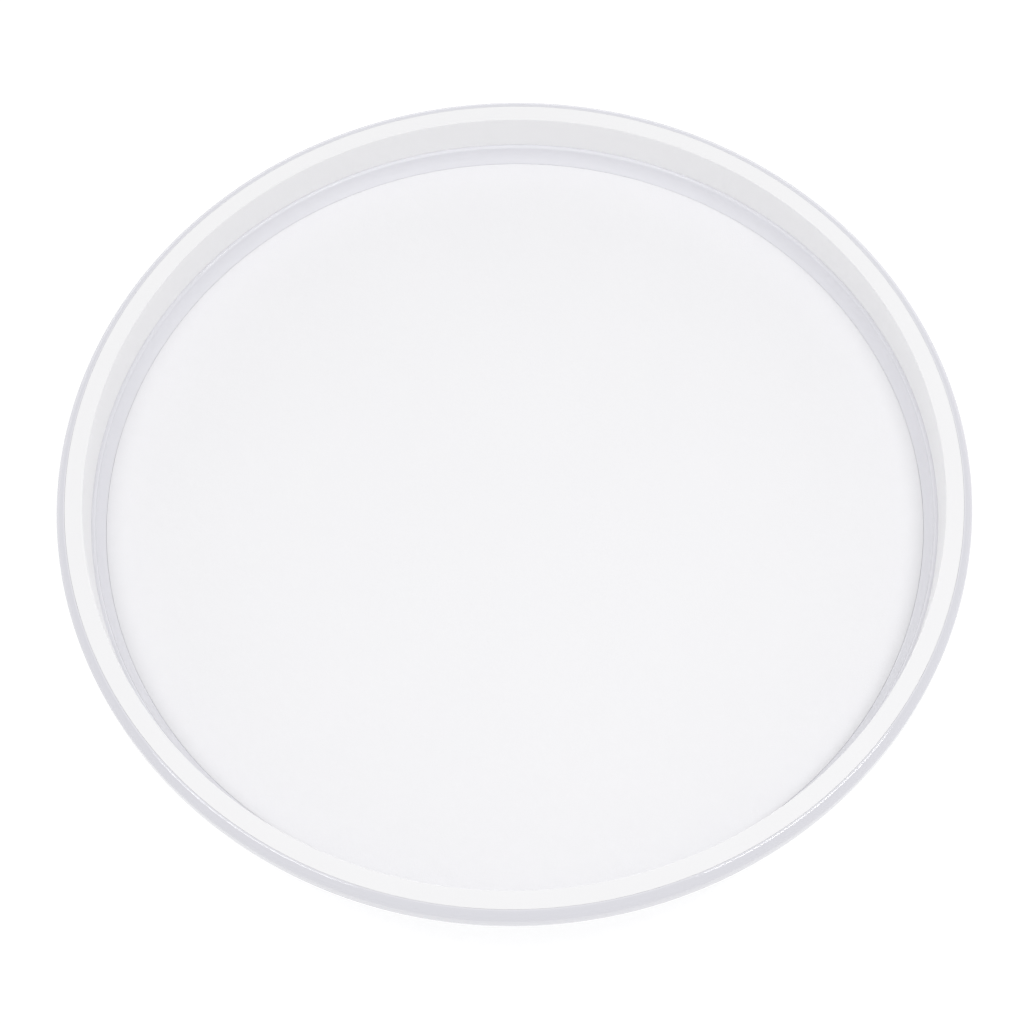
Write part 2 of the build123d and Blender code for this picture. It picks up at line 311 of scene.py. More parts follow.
cove_start = math.degrees(math.asin((cove_top - mat_top) / cove_radius))
start_outline("tray_shell", 0, floor_top)
line_to(cove_foot, floor_top)
line_to(cove_foot, mat_top)
round_about(cove_center, cove_top, cove_start, steps=12)
line_to(ledge_radius, cove_top)
round_about(ledge_radius + ledge_round, cove_top, -90, steps=8)
line_to(band_back, ledge_top)
line_to(band_back, band_seat)
line_to(rim_flat_outer, band_seat)
line_to(rim_flat_outer, rim_top)
round_about(rim_flat_outer, skirt_shoulder, -90, steps=14)
line_to(tray_radius, skirt_knee)
line_to(skirt_radius(skirt_bottom), skirt_bottom)
print(f"cove turns through {cove_start:.1f} degrees")

# %% Tray: the sizes of its under side
skirt_inner = skirt_radius(skirt_bottom) - skirt_wall
rim_ceiling = band_seat - rim_roof
outer_cove_radius = cove_top - floor_underside
race_lip_height = 1.0 * MM
race_lip_width = 2.0 * MM
race_lip_round = 0.2 * MM
channel_half_width = 2.49 * MM  # half of the groove that the balls run in
upper_lip_bottom = tray_low.z
upper_track = upper_lip_bottom + race_lip_height
race_inner = race_radius - channel_half_width - race_lip_width
race_outer = race_radius + channel_half_width + race_lip_width
boss_bottom = bush_high.z + 0.3 * MM
boss_radius = 7.05 * MM
pilot_radius = 2.05 * MM        # hole that the pivot screw cuts its thread in
pilot_top = floor_top - 0.8 * MM
print(f"upper track {upper_track / MM:.2f} mm up,", end=" ")
print(f"between radii {race_inner / MM:.1f} and {race_outer / MM:.1f} mm")

# %% [markdown]
# The balls run in a groove between two lips. Half of it is under the tray and half is on the base, and
# both halves have the same outline, one of them upside down. So one helper draws the lips and the track
# for both, and another takes the edge off the lips.


# %% Helpers: the ball race
def draw_race(plate, lip_edge, track):
    """Draws half a race on its plate, from outside in: a lip, the track and a lip."""
    line_to(race_outer, plate)
    line_to(race_outer, lip_edge)
    line_to(race_outer - race_lip_width, lip_edge)
    line_to(race_outer - race_lip_width, track)
    line_to(race_inner + race_lip_width, track)
    line_to(race_inner + race_lip_width, lip_edge)
    line_to(race_inner, lip_edge)
    line_to(race_inner, plate)


def soften_lips(lip_edge):
    """Rounds the four corners of a race's two lips."""
    for lip_side in (race_inner, race_inner + race_lip_width, race_outer - race_lip_width, race_outer):
        soften_corner(lip_side, lip_edge, race_lip_round, segments=2)


# %% Tray: the under side of its outline
line_to(skirt_inner, skirt_bottom)
line_to(tray_radius - skirt_wall, skirt_knee)
line_to(tray_radius - skirt_wall, rim_ceiling)
line_to(wall_back, rim_ceiling)
line_to(wall_back, cove_top)
round_about(wall_back - outer_cove_radius, cove_top, -90, steps=8)
draw_race(floor_underside, upper_lip_bottom, upper_track)
line_to(boss_radius, floor_underside)
line_to(boss_radius, boss_bottom)
line_to(pilot_radius, boss_bottom)
line_to(pilot_radius, pilot_top)
line_to(0, pilot_top)
print(len(bmesh.from_edit_mesh(bpy.context.object.data).verts), "points in the tray's outline")

# %% [markdown]
# A mould has no knife edges, so the corners that a hand or a light can find are rounded while they are
# still single points: two soft rounds make the skirt's lower edge, two more ease the bend where it stops
# dropping and starts to lean in, and finer ones take the edge off the rebate, the mat's step, the race
# and the boss.

# %% Tray: round the corners and spin it
knee_round = 1.2 * MM
seam_round = 0.05 * MM          # beside the soft band and the mat
soften_corner(skirt_radius(skirt_bottom), skirt_bottom, 0.7 * MM, segments=5)
soften_corner(skirt_inner, skirt_bottom, 0.5 * MM, segments=4)
soften_corner(tray_radius, skirt_knee, knee_round, segments=6)
soften_corner(tray_radius - skirt_wall, skirt_knee, knee_round, segments=4)
soften_corner(rim_flat_outer, rim_top, seam_round, segments=2)
soften_corner(cove_foot, mat_top, seam_round, segments=2)
soften_corner(wall_back, rim_ceiling, 0.6 * MM, segments=3)
soften_lips(upper_lip_bottom)
soften_corner(boss_radius, boss_bottom, 0.3 * MM, segments=3)
soften_corner(pilot_radius, boss_bottom, 0.3 * MM, segments=1)
tray_shell = spin_outline()
tell(tray_shell)

# %% [markdown]
# ## The tray's ribs
#
# A floor only 2.4 mm thick would sag, so it is ribbed from below: twelve ribs run from the boss to the
# race, twenty-four from the race to the cove, and twenty-four gussets brace the hollow rim. One of each
# is drawn with the same pen, filled and thickened, with a lower edge that is thinner and softened, as a
# rib must be to leave its mould. It is copied round the axis, and the copies are welded into the
# moulding with a boolean, so that the tray stays one closed skin.

# %% Helpers: ribs and copies round the axis
RIB_TAPER = 0.8                 # thickness of a rib's free edge, as a share of that at its root
RIB_ROUND = 0.25 * MM           # on the free edge


def draw_rib(name, corners, thickness):
    """Makes an upright rib on the +X side from its outline, whose first corner is on its free edge."""
    start_outline(name, *corners[0])
    for corner in corners[1:]:
        line_to(*corner)
    bpy.ops.mesh.select_all(action="SELECT")
    bpy.ops.mesh.edge_face_add()
    bpy.ops.transform.translate(value=(0, -thickness / 2, 0))
    bpy.ops.mesh.extrude_region_move(TRANSFORM_OT_translate={"value": (0, thickness, 0)})
    close_skin()
    free_edge = corners[0][1]
    select_points(lambda p: abs(p.z - free_edge) < TOUCH)
    bpy.ops.transform.resize(value=(1, RIB_TAPER, 1), center_override=(0, 0, 0))
    bpy.ops.mesh.bevel(offset=RIB_ROUND, segments=2, affect="EDGES")
    return leave_edit()


def copies_round_axis(piece, count):
    """Copies a piece round the Z axis, each copy with its own mesh, and joins the ring into one."""
    ring = [piece]
    for number in range(1, count):
        select_only(piece)
        bpy.ops.object.duplicate()
        turn = math.tau * number / count
        bpy.ops.transform.rotate(value=turn, orient_axis="Z", center_override=(0, 0, 0))
        bpy.ops.object.transform_apply(location=True, rotation=True, scale=True)
        ring.append(bpy.context.object)
    select_only(*ring)
    bpy.ops.object.join()
    return bpy.context.object


def carve(piece, operation, *tools):
    """Unites each tool with the piece or cuts it out of it, and deletes the tool."""
    for tool in tools:
        apply_modifier(piece, "BOOLEAN", operation=operation, solver="EXACT", object=tool)
        bpy.data.objects.remove(tool)


# %% Tray: ribs and gussets
inner_rib_count = 12
outer_rib_count = 24
rib_thickness = 1.6 * MM
rib_bottom = floor_underside - 2.2 * MM
rib_root = 1.0 * MM             # how far a rib runs into what it joins
rib_top = floor_underside + rib_root
gusset_foot = floor_underside + 4.5 * MM
gusset_top = rim_ceiling + rib_root
gusset_wall = wall_back - 0.7 * MM
cove_skin = wall_back - 1.4 * MM  # inside the cove's thickness


def standing_corners(inner, outer, free, rooted):
    """Corners of a plain upright rib, from the inner end of its free edge."""
    return [(inner, free), (outer, free), (outer, rooted), (inner, rooted)]


inner_rib = draw_rib(
    "inner_ribs",
    standing_corners(boss_radius - rib_root, race_inner + rib_root, rib_bottom, rib_top),
    rib_thickness,
)
outer_rib = draw_rib(
    "outer_ribs",
    standing_corners(race_outer - rib_root, wall_back - outer_cove_radius, rib_bottom, rib_top),
    rib_thickness,
)
gusset = draw_rib(
    "gussets",
    [
        (cove_skin, gusset_foot),
        (skirt_radius(gusset_foot) - skirt_wall / 2, gusset_foot),
        (tray_radius - skirt_wall / 2, skirt_knee),
        (tray_radius - skirt_wall, gusset_top),
        (gusset_wall, gusset_top),
    ],
    rib_thickness,
)
carve(
    tray_shell,
    "UNION",
    copies_round_axis(inner_rib, inner_rib_count),
    copies_round_axis(outer_rib, outer_rib_count),
    copies_round_axis(gusset, outer_rib_count),
)
finish_shading(tray_shell)
tell(tray_shell)

# %% [markdown]
# ## The soft band
#
# A matte rubbery band is bonded over the top of the rim and down the inner wall, for grip. Its section
# is an angle, so its outline is a closed one: the last stroke comes back to the first point, and the
# spin makes a ring with no poles. The small rounds on its three free corners catch thin lines of light
# and, beside the tray's own rounds, leave the fine dark seams that part it from the gloss.

# %% Soft band
def close_outline():
    """Joins the end of a closed outline to its start."""
    bpy.ops.mesh.select_all(action="SELECT")
    bpy.ops.mesh.remove_doubles(threshold=TOUCH)


band_back_face = band_back - soft_clearance
land_outer = rim_flat_outer - seam_gap
start_outline("soft_band", wall_radius, ledge_top)
line_to(rim_flat_inner, rim_top)
line_to(land_outer, rim_top)
line_to(land_outer, band_seat)
line_to(band_back_face, band_seat)
line_to(band_back_face, ledge_top)
line_to(wall_radius, ledge_top)
close_outline()
soften_corner(wall_radius, ledge_top, 0.12 * MM, segments=3)
soften_corner(rim_flat_inner, rim_top, 0.3 * MM, segments=5)
soften_corner(land_outer, rim_top, 0.08 * MM, segments=3)
soft_band = spin_outline()
finish_shading(soft_band)
tell(soft_band)

# %% [markdown]
# ## The mat
#
# The floor's non-slip mat is a thin round sheet of soft plastic that lies in its step, flush with the
# foot of the cove. A cylinder would do for its size, but its top edge would be a knife's. Drawn as an
# outline it gets a rounded upper edge and a small chamfer below, and a few rings across its top keep
# its long faces from becoming needles.

# %% Mat
mat_edge = cove_foot - seam_gap
mat_rings = 5
start_outline("grip_mat", 0, floor_top)
line_to(mat_edge, floor_top)
line_to(mat_edge, mat_top)
for ring in range(mat_rings - 1, 0, -1):
    line_to(mat_edge * ring / mat_rings, mat_top)
line_to(0, mat_top)
soften_corner(mat_edge, mat_top, 0.12 * MM, segments=4)
soften_corner(mat_edge, floor_top, 0.15 * MM, segments=1)
grip_mat = spin_outline()
finish_shading(grip_mat)
tell(grip_mat)

# %% [markdown]
# ## The base
#
# The base is the part that stays still: a thin disc with a raised hub in the middle, the lower track of
# the race, and an upturned edge that keeps crumbs out. It is turned like the tray, but its outline is a
# closed loop, because the bush goes through its middle. Twelve ribs stiffen it. Six low bosses stand
# over the pockets for the feet: one boss and one pocket are turned on the axis, moved out, copied
# round, and then joined on or cut out with a boolean.

# %% Base: its outline
base_wall = 2.2 * MM
ball_play = 0.05 * MM           # under the balls
base_radius = base_high.x
base_bottom = base_low.z
base_top = base_high.z
plate_top = base_bottom + base_wall
lower_track = (ball_high.z + ball_low.z) / 2 - ball_radius - ball_play
lower_lip_top = lower_track + race_lip_height
hub_recess_radius = 16.0 * MM
hub_radius = hub_recess_radius + base_wall
hub_underside = bush_low.z
hub_top = hub_underside + base_wall
bush_hole_radius = 6.07 * MM
edge_inner = base_radius - base_wall

start_outline("turned_base", hub_recess_radius, base_bottom)
line_to(base_radius, base_bottom)
line_to(base_radius, base_top)
line_to(edge_inner, base_top)
line_to(edge_inner, plate_top)
draw_race(plate_top, lower_lip_top, lower_track)
line_to(hub_radius, plate_top)
line_to(hub_radius, hub_top)
line_to(bush_hole_radius, hub_top)
line_to(bush_hole_radius, hub_underside)
line_to(hub_recess_radius, hub_underside)
line_to(hub_recess_radius, base_bottom)
close_outline()
soften_corner(base_radius, base_bottom, 1.0 * MM, segments=6)
soften_corner(base_radius, base_top, 0.5 * MM, segments=4)
soften_corner(edge_inner, base_top, 0.4 * MM, segments=3)
soften_corner(edge_inner, plate_top, 0.5 * MM, segments=3)
soften_corner(hub_radius, hub_top, 0.4 * MM, segments=3)
soften_corner(hub_radius, plate_top, 0.5 * MM, segments=3)
soften_corner(hub_recess_radius, base_bottom, 0.3 * MM, segments=3)
soften_lips(lower_lip_top)
turned_base = spin_outline()
tell(turned_base)

# %% Base: ribs, foot bosses and foot pockets
base_rib_count = 12
base_rib_top = plate_top + 1.5 * MM
foot_count = 6
foot_radius = (foot_high.y - foot_low.y) / 2
foot_place = (foot_low + foot_high) / 2
foot_height = foot_high.z
foot_pocket_radius = foot_radius + soft_clearance
foot_boss_radius = foot_pocket_radius + 0.8 * MM  # with the pocket's thin wall
foot_boss_top = plate_top + (foot_high.z - base_bottom)


def draw_disc(name, radius, bottom, top, edge_round=0.0):
    """Turns a short round stud on the axis and moves it to where the first foot is."""
    start_outline(name, 0, bottom)
    line_to(radius, bottom)
    line_to(radius, top)
    line_to(0, top)
    if edge_round:
        soften_corner(radius, top, edge_round)
    stud = spin_outline(steps=96)
    stud.location = (foot_place.x, foot_place.y, 0)
    select_only(stud)
    bpy.ops.object.transform_apply(location=True, rotation=True, scale=True)
    return stud


base_rib = draw_rib(
    "base_ribs",
    standing_corners(hub_radius - rib_root, race_inner + rib_root, base_rib_top, plate_top - rib_root),
    rib_thickness,
)
foot_boss = draw_disc(
    "foot_bosses", foot_boss_radius, plate_top - rib_root, foot_boss_top, edge_round=0.3 * MM
)
foot_pocket = draw_disc("foot_pockets", foot_pocket_radius, base_bottom - rib_root, foot_high.z)
carve(
    turned_base,
    "UNION",
    copies_round_axis(base_rib, base_rib_count),
    copies_round_axis(foot_boss, foot_count),
)
carve(turned_base, "DIFFERENCE", copies_round_axis(foot_pocket, foot_count))
finish_shading(turned_base)
tell(turned_base)

# %% [markdown]
# ## The feet
#
# Six rubber pads sit in pockets under the base. Each has a rounded lower edge, a shallow hollow in the
# middle and two ring grooves that help it to grip a smooth worktop. One foot is turned on the lathe at
# the axis, moved to the first pocket, and copied to the others by the boxes of their nodes.

# %% Feet
groove_depth = 0.4 * MM         # the hollow in the middle is as deep
hollow_floor = 1.2 * MM
hollow_edge = 1.5 * MM
groove_places = (2.6 * MM, 4.0 * MM)
groove_section = ((0, 0), (0.1 * MM, groove_depth), (0.4 * MM, groove_depth), (0.5 * MM, 0))

start_outline("rubber_foot_1", 0, groove_depth)
line_to(hollow_floor, groove_depth)
line_to(hollow_edge, 0)
for groove in groove_places:
    for across, deep in groove_section:
        line_to(groove + across, deep)
line_to(foot_radius, 0)
line_to(foot_radius, foot_height)
line_to(0, foot_height)
soften_corner(foot_radius, 0, 0.6 * MM, segments=5)
soften_corner(foot_radius, foot_height, 0.15 * MM, segments=2)
first_foot = spin_outline(steps=64)
first_foot.location = (foot_place.x, foot_place.y, 0)
select_only(first_foot)
bpy.ops.object.transform_apply(location=True, rotation=True, scale=True)
finish_shading(first_foot)
tell(first_foot)

rubber_feet = [first_foot]
for number in range(2, foot_count + 1):
    low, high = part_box(f"foot_{number}")
    select_only(first_foot)
    bpy.ops.object.duplicate()
    bpy.ops.transform.translate(value=(low + high) / 2 - foot_place)
    bpy.ops.object.transform_apply(location=True, rotation=True, scale=True)
    foot = bpy.context.object
    foot.name = f"rubber_foot_{number}"
    foot.data.name = foot.name
    rubber_feet.append(foot)
print(len(rubber_feet), "feet, each", foot_height / MM, "mm high")

# %% [markdown]
# ## How a finish is written
#
# A finish is a small sum: this much noise, times that mask, plus a base value. Blender works such sums
# out with nodes, and a dozen nodes for one line of sums are hard to read. `Wire` stands for one socket
# and takes Python's own operators, so that `0.2 + 0.1 * noise` adds its Math nodes by itself. `Graph`
# has one method for every other node: settings first, and then a value or a wire for each socket.

# %% Helpers: shader maths
class Wire:
    """The output of a node, which can be added, multiplied and so on like a number."""

    def __init__(self, graph, socket):
        self.graph = graph
        self.socket = socket

    def __add__(self, other):
        return self.graph.maths("ADD", self, other)

    def __radd__(self, other):
        return self.graph.maths("ADD", other, self)

    def __sub__(self, other):
        return self.graph.maths("SUBTRACT", self, other)

    def __rsub__(self, other):
        return self.graph.maths("SUBTRACT", other, self)

    def __mul__(self, other):
        return self.graph.maths("MULTIPLY", self, other)

    def __rmul__(self, other):
        return self.graph.maths("MULTIPLY", other, self)

    def __truediv__(self, other):
        return self.graph.maths("DIVIDE", self, other)


class Graph:
    """The nodes of one material or of the world."""

    def __init__(self, tree):
        self.tree = tree

    def node(self, kind, settings=None, sockets=None, output=0):
        """Adds one node: its settings first, then a value or a wire for each socket."""
        node = self.tree.nodes.new(kind)
        for name, value in (settings or {}).items():
            if name == "stops":
                self.set_stops(node.color_ramp, value)
            else:
                setattr(node, name, value)
        for name, value in (sockets or {}).items():
            self.feed(node.inputs[name], value)
        return Wire(self, node.outputs[output])

    def set_stops(self, ramp, stops):
        """Sets a ramp's stops from pairs of a place and a grey level."""
        while len(ramp.elements) < len(stops):
            ramp.elements.new(1.0)
        for element, (place, level) in zip(ramp.elements, stops):
            element.position = place
            element.color = (level, level, level, 1)

    def feed(self, socket, value):
        """Links a wire to a socket, or sets its value."""
        if isinstance(value, Wire):
            self.tree.links.new(value.socket, socket)
        else:
            socket.default_value = value

    def maths(self, operation, first, second=0.0):
        """One Math node on two numbers or wires."""
        return self.node("ShaderNodeMath", {"operation": operation}, {0: first, 1: second})

    def noise(self, place, size, detail, roughness=0.5):
        """Cloudy noise from 0 to 1, whose blotches are about this many metres across."""
        sockets = {"Vector": place, "Scale": 1 / size, "Detail": detail, "Roughness": roughness}
        return self.node("ShaderNodeTexNoise", None, sockets)

    def cells(self, place, size, spread=1.0):
        """Distance to the nearest of many scattered points, for pebbles and pits."""
        sockets = {"Vector": place, "Scale": 1 / size, "Randomness": spread}
        return self.node("ShaderNodeTexVoronoi", None, sockets)

    def ramp(self, factor, *stops):
        """Turns a factor into greys along a ramp."""
        return self.node("ShaderNodeValToRGB", {"stops": stops}, {"Fac": factor})

    def mix_colours(self, factor, first, second):
        """Goes from the first colour to the second as the factor goes from 0 to 1."""
        sockets = {0: factor, 6: first, 7: second}
        return self.node("ShaderNodeMix", {"data_type": "RGBA"}, sockets, output=2)

    def along(self, place, axis):
        """One number of a place: 0 is X, 1 is Y and 2 is Z."""
        return self.node("ShaderNodeSeparateXYZ", None, {"Vector": place}, output=axis)

    def stretched(self, place, scale):
        """A place with each of its axes multiplied, to draw a pattern out."""
        settings = {"operation": "MULTIPLY"}
        return self.node("ShaderNodeVectorMath", settings, {0: place, 1: scale})

    def from_axis(self, place):
        """Distance of a place from the Z axis."""
        level = self.stretched(place, (1.0, 1.0, 0.0))
        return self.node("ShaderNodeVectorMath", {"operation": "LENGTH"}, {0: level}, output=1)

    def relief(self, height, depth, strength, under=None):
        """A bumped normal, for a height from 0 to 1 that stands for this many metres."""
        sockets = {"Height": height, "Distance": depth, "Strength": strength}
        if under is not None:
            sockets["Normal"] = under
        return self.node("ShaderNodeBump", None, sockets)


class Finish(Graph):
    """A material with its main shader, the object's own coordinates, and its constants set."""

    def __init__(self, name, **constants):
        self.material = bpy.data.materials.new(name)
        self.material.use_nodes = True
        super().__init__(self.material.node_tree)
        self.shader = self.tree.nodes["Principled BSDF"]
        self.place = self.node("ShaderNodeTexCoord", output=3)
        for socket, value in constants.items():
            self.set(socket.replace("_", " "), value)

    def set(self, socket, value):
        """Sets one socket of the shader, or feeds it a wire."""
        self.feed(self.shader.inputs[socket], value)

    def done(self):
        """Says what was made and hands over the material."""
        print(f"made {self.material.name} with {len(self.tree.nodes)} nodes")
        return self.material


def grey(red, green, blue):
    """A near-grey, as a linear colour with full alpha."""
    return (red, green, blue, 1.0)


# %% [markdown]
# ## The tray's glossy plastic
#
# The moulding is a cool white polymer, polished where the mould was polished. A perfect mirror of a
# gloss looks false. The real surface has four faults of different sizes: slow swirls left by the flow
# of the melt, clouds in the polish, a barely visible waviness like an orange's skin, and hairlines from
# wiping, which show only as slightly rougher threads. They are four noises, each at its own scale.
#
# The round outside the land and the skirt are painted a shade greyer than the rest. This is painted shade,
# for the dimmer light that reaches them from the shaded worktop beside and below them. They also came out of
# the mould truer: the waviness all but ends at the land, and a cloth seldom reaches the skirt, so it has no
# hairlines.

# %% Glossy tray plastic
def make_tray_gloss():
    finish = Finish("tray_gloss", IOR=1.49, Specular_IOR_Level=0.5)
    flow = finish.noise(finish.place, 45 * MM, detail=3)
    cloud = finish.noise(finish.place, 9 * MM, detail=2)
    drawn = finish.stretched(finish.place, (1.0, 0.06, 0.3))
    threads = finish.noise(drawn, 0.35 * MM, detail=3, roughness=0.7)
    hairline = finish.ramp(threads, (0.62, 0.0), (0.70, 1.0))
    milky = grey(0.751, 0.750, 0.790)
    bright = grey(0.775, 0.774, 0.814)
    solid = finish.mix_colours(flow, milky, bright)
    radius = finish.from_axis(finish.place)
    depth = rim_top - finish.along(finish.place, 2)
    # The next three ramps run over shares of the tray's radius.
    beyond_wall = finish.ramp((radius - wall_back) / tray_radius, (0.0, 0.0), (0.01, 1.0))
    beyond_land = finish.ramp((radius - rim_flat_outer) / tray_radius, (0.0, 0.0), (0.003, 1.0))
    skirt = finish.ramp(depth / tray_radius, (0.013, 0.0), (0.020, 1.0)) * beyond_wall
    # Painted shade: this mask mixes the round and the skirt outside the land towards a greyer colour. The
    # same mask also calms their waviness below.
    rim_shade_and_smooth_mask = finish.maths("MAXIMUM", skirt, beyond_land)
    painted_rim_shade = grey(0.669, 0.668, 0.711)
    finish.set("Base Color", finish.mix_colours(rim_shade_and_smooth_mask, solid, painted_rim_shade))
    finish.set("Roughness", 0.04 + 0.04 * cloud + 0.05 * hairline * (1 - skirt))
    peel = finish.noise(finish.place, 6.0 * MM, detail=1) * (1 - 0.9 * rim_shade_and_smooth_mask)
    finish.set("Normal", finish.relief(peel, 0.003 * MM, strength=0.6))
    return finish.done()


tray_gloss = make_tray_gloss()

# %% [markdown]
# ## The tray's under side
#
# The core of the mould is not polished but spark-eroded, so the plastic that came off it is satin, with
# an even fine grain. Its colour is the same cool white, a touch paler.

# %% Satin under side of the tray
def make_tray_satin():
    finish = Finish("tray_satin", IOR=1.49)
    flow = finish.noise(finish.place, 30 * MM, detail=3)
    grain = finish.noise(finish.place, 0.28 * MM, detail=3, roughness=0.65)
    finish.set("Base Color", finish.mix_colours(flow, grey(0.78, 0.785, 0.83), grey(0.81, 0.815, 0.855)))
    finish.set("Roughness", 0.40 + 0.14 * grain)
    finish.set("Normal", finish.relief(grain, 0.03 * MM, strength=0.5))
    return finish.done()


tray_satin = make_tray_satin()

# %% [markdown]
# ## The soft band's rubber
#
# Soft-touch rubber is matte because its skin is a field of tiny pebbles. Scattered cells give the
# pebbles, a finer noise breaks them up, and a slow noise lets the sheen vary from place to place.

# %% Matte band rubber
def make_band_matte():
    finish = Finish("band_matte", IOR=1.46, Specular_IOR_Level=0.35)
    pebbles = finish.cells(finish.place, 0.42 * MM)
    dust = finish.noise(finish.place, 0.12 * MM, detail=2)
    patch = finish.noise(finish.place, 22 * MM, detail=3)
    finish.set("Base Color", finish.mix_colours(patch, grey(0.842, 0.840, 0.852), grey(0.858, 0.856, 0.866)))
    finish.set("Roughness", 0.58 + 0.10 * patch + 0.08 * dust)
    coarse = finish.relief(1 - pebbles, 0.02 * MM, strength=0.5)
    finish.set("Normal", finish.relief(dust, 0.008 * MM, strength=0.4, under=coarse))
    return finish.done()


band_matte = make_band_matte()

# %% [markdown]
# ## The mat's non-slip skin
#
# The mat is pressed from a soft vinyl with a fine stipple, which grips a jar's foot and hides crumbs.
# It is the brightest piece, since its broad flat faces the light. Its colour hardly varies: only a
# faint mottle keeps it from looking like paper.

# %% Stippled mat
def make_mat_stipple():
    finish = Finish("mat_stipple", IOR=1.48, Specular_IOR_Level=0.35)
    stipple = finish.cells(finish.place, 0.75 * MM, spread=0.85)
    dots = finish.ramp(stipple, (0.18, 1.0), (0.52, 0.0))
    pores = finish.noise(finish.place, 0.16 * MM, detail=2)
    mottle = finish.noise(finish.place, 38 * MM, detail=4, roughness=0.6)
    finish.set("Base Color", finish.mix_colours(mottle, grey(0.857, 0.855, 0.872), grey(0.873, 0.871, 0.887)))
    finish.set("Roughness", 0.56 + 0.12 * pores - 0.05 * dots)
    domes = finish.relief(dots, 0.03 * MM, strength=0.45)
    finish.set("Normal", finish.relief(pores, 0.006 * MM, strength=0.4, under=domes))
    return finish.done()


mat_stipple = make_mat_stipple()

# %% [markdown]
# ## The base's satin plastic
#
# The base is moulded from the same family of plastic, with a spark-eroded skin all over. A little dust
# gathers near the worktop, so its lowest few millimetres are a shade greyer and duller.

# %% Satin base plastic
def make_base_satin():
    finish = Finish("base_satin", IOR=1.49)
    grain = finish.noise(finish.place, 0.30 * MM, detail=3, roughness=0.65)
    flow = finish.noise(finish.place, 28 * MM, detail=3)
    height = finish.along(finish.place, 2)
    dusty = finish.ramp((height - base_low.z) / (base_high.z - base_low.z), (0.0, 1.0), (0.5, 0.0))
    clean = finish.mix_colours(flow, grey(0.74, 0.745, 0.77), grey(0.78, 0.785, 0.81))
    finish.set("Base Color", finish.mix_colours(dusty * (0.25 + 0.35 * flow), clean, grey(0.55, 0.54, 0.52)))
    finish.set("Roughness", 0.42 + 0.12 * grain + 0.12 * dusty)
    finish.set("Normal", finish.relief(grain, 0.03 * MM, strength=0.5))
    return finish.done()


base_satin = make_base_satin()

# %% [markdown]
# ## Rubber, nylon and acetal
#
# The small plastic pieces differ by their filler. The feet are a grey rubber, scuffed and dusty where
# they touch the worktop. The ball cage is natural acetal, milky and waxy. The bush is dark nylon filled
# with glass fibre, whose strands show as short paler flecks. The slip washer is plain nylon, which
# yellows.

# %% Foot rubber
def make_foot_rubber():
    finish = Finish("foot_rubber", IOR=1.50, Specular_IOR_Level=0.4)
    grain = finish.noise(finish.place, 0.22 * MM, detail=4, roughness=0.7)
    scuff = finish.noise(finish.place, 2.4 * MM, detail=5, roughness=0.7)
    height = finish.along(finish.place, 2)
    sole = finish.ramp(height / foot_height, (0.0, 1.0), (0.3, 0.0))
    worn = finish.ramp(scuff, (0.45, 0.0), (0.65, 1.0))
    finish.set("Base Color", finish.mix_colours(sole * worn, grey(0.30, 0.305, 0.32), grey(0.44, 0.44, 0.44)))
    finish.set("Roughness", 0.62 + 0.18 * scuff)
    finish.set("Normal", finish.relief(grain, 0.03 * MM, strength=0.6))
    return finish.done()


foot_rubber = make_foot_rubber()


# %% Cage acetal
def make_cage_acetal():
    finish = Finish("cage_acetal", IOR=1.48)
    flow = finish.noise(finish.place, 8 * MM, detail=4, roughness=0.6)
    wear = finish.noise(finish.place, 1.1 * MM, detail=3)
    finish.set("Base Color", finish.mix_colours(flow, grey(0.70, 0.71, 0.70), grey(0.79, 0.80, 0.79)))
    finish.set("Roughness", 0.26 + 0.16 * wear)
    finish.set("Normal", finish.relief(wear, 0.015 * MM, strength=0.5))
    return finish.done()


cage_acetal = make_cage_acetal()


# %% Bush nylon
def make_bush_nylon():
    finish = Finish("bush_nylon", IOR=1.53)
    drawn = finish.stretched(finish.place, (1.0, 1.0, 0.2))
    strands = finish.noise(drawn, 0.25 * MM, detail=4, roughness=0.75)
    fleck = finish.ramp(strands, (0.56, 0.0), (0.66, 1.0))
    finish.set("Base Color", finish.mix_colours(fleck, grey(0.045, 0.047, 0.052), grey(0.12, 0.122, 0.13)))
    finish.set("Roughness", 0.36 + 0.2 * strands)
    finish.set("Normal", finish.relief(strands, 0.01 * MM, strength=0.5))
    return finish.done()


bush_nylon = make_bush_nylon()


# %% Washer nylon
def make_washer_nylon():
    finish = Finish("washer_nylon", IOR=1.53)
    stain = finish.noise(finish.place, 3.0 * MM, detail=4, roughness=0.6)
    finish.set("Base Color", finish.mix_colours(stain, grey(0.74, 0.72, 0.63), grey(0.80, 0.79, 0.72)))
    finish.set("Roughness", 0.34 + 0.14 * stain)
    finish.set("Normal", finish.relief(stain, 0.01 * MM, strength=0.4))
    return finish.done()


washer_nylon = make_washer_nylon()

# %% [markdown]
# ## Steel
#
# The pivot screw and its washer are turned and zinc plated. The lathe leaves rings round the axis, so
# their grooves come from the distance to the axis and not from a flat pattern, and the plating is
# faintly clouded. The balls are hardened, polished steel with a trace of grease, so they are near
# mirrors with a few hair-thin scratches.

# %% Turned zinc-plated steel
def make_turned_zinc():
    finish = Finish("turned_zinc", Metallic=1.0)
    groove_pitch = 0.22 * MM
    wobble = finish.noise(finish.place, 1.5 * MM, detail=2)
    radius = finish.from_axis(finish.place) + 0.2 * MM * wobble
    grooves = finish.maths("SINE", radius * (math.tau / groove_pitch))
    cloud = finish.noise(finish.place, 2.2 * MM, detail=4, roughness=0.6)
    finish.set("Base Color", finish.mix_colours(cloud, grey(0.52, 0.54, 0.57), grey(0.66, 0.67, 0.68)))
    finish.set("Roughness", 0.24 + 0.14 * cloud)
    finish.set("Normal", finish.relief(0.5 + 0.5 * grooves, 0.006 * MM, strength=0.5))
    return finish.done()


turned_zinc = make_turned_zinc()


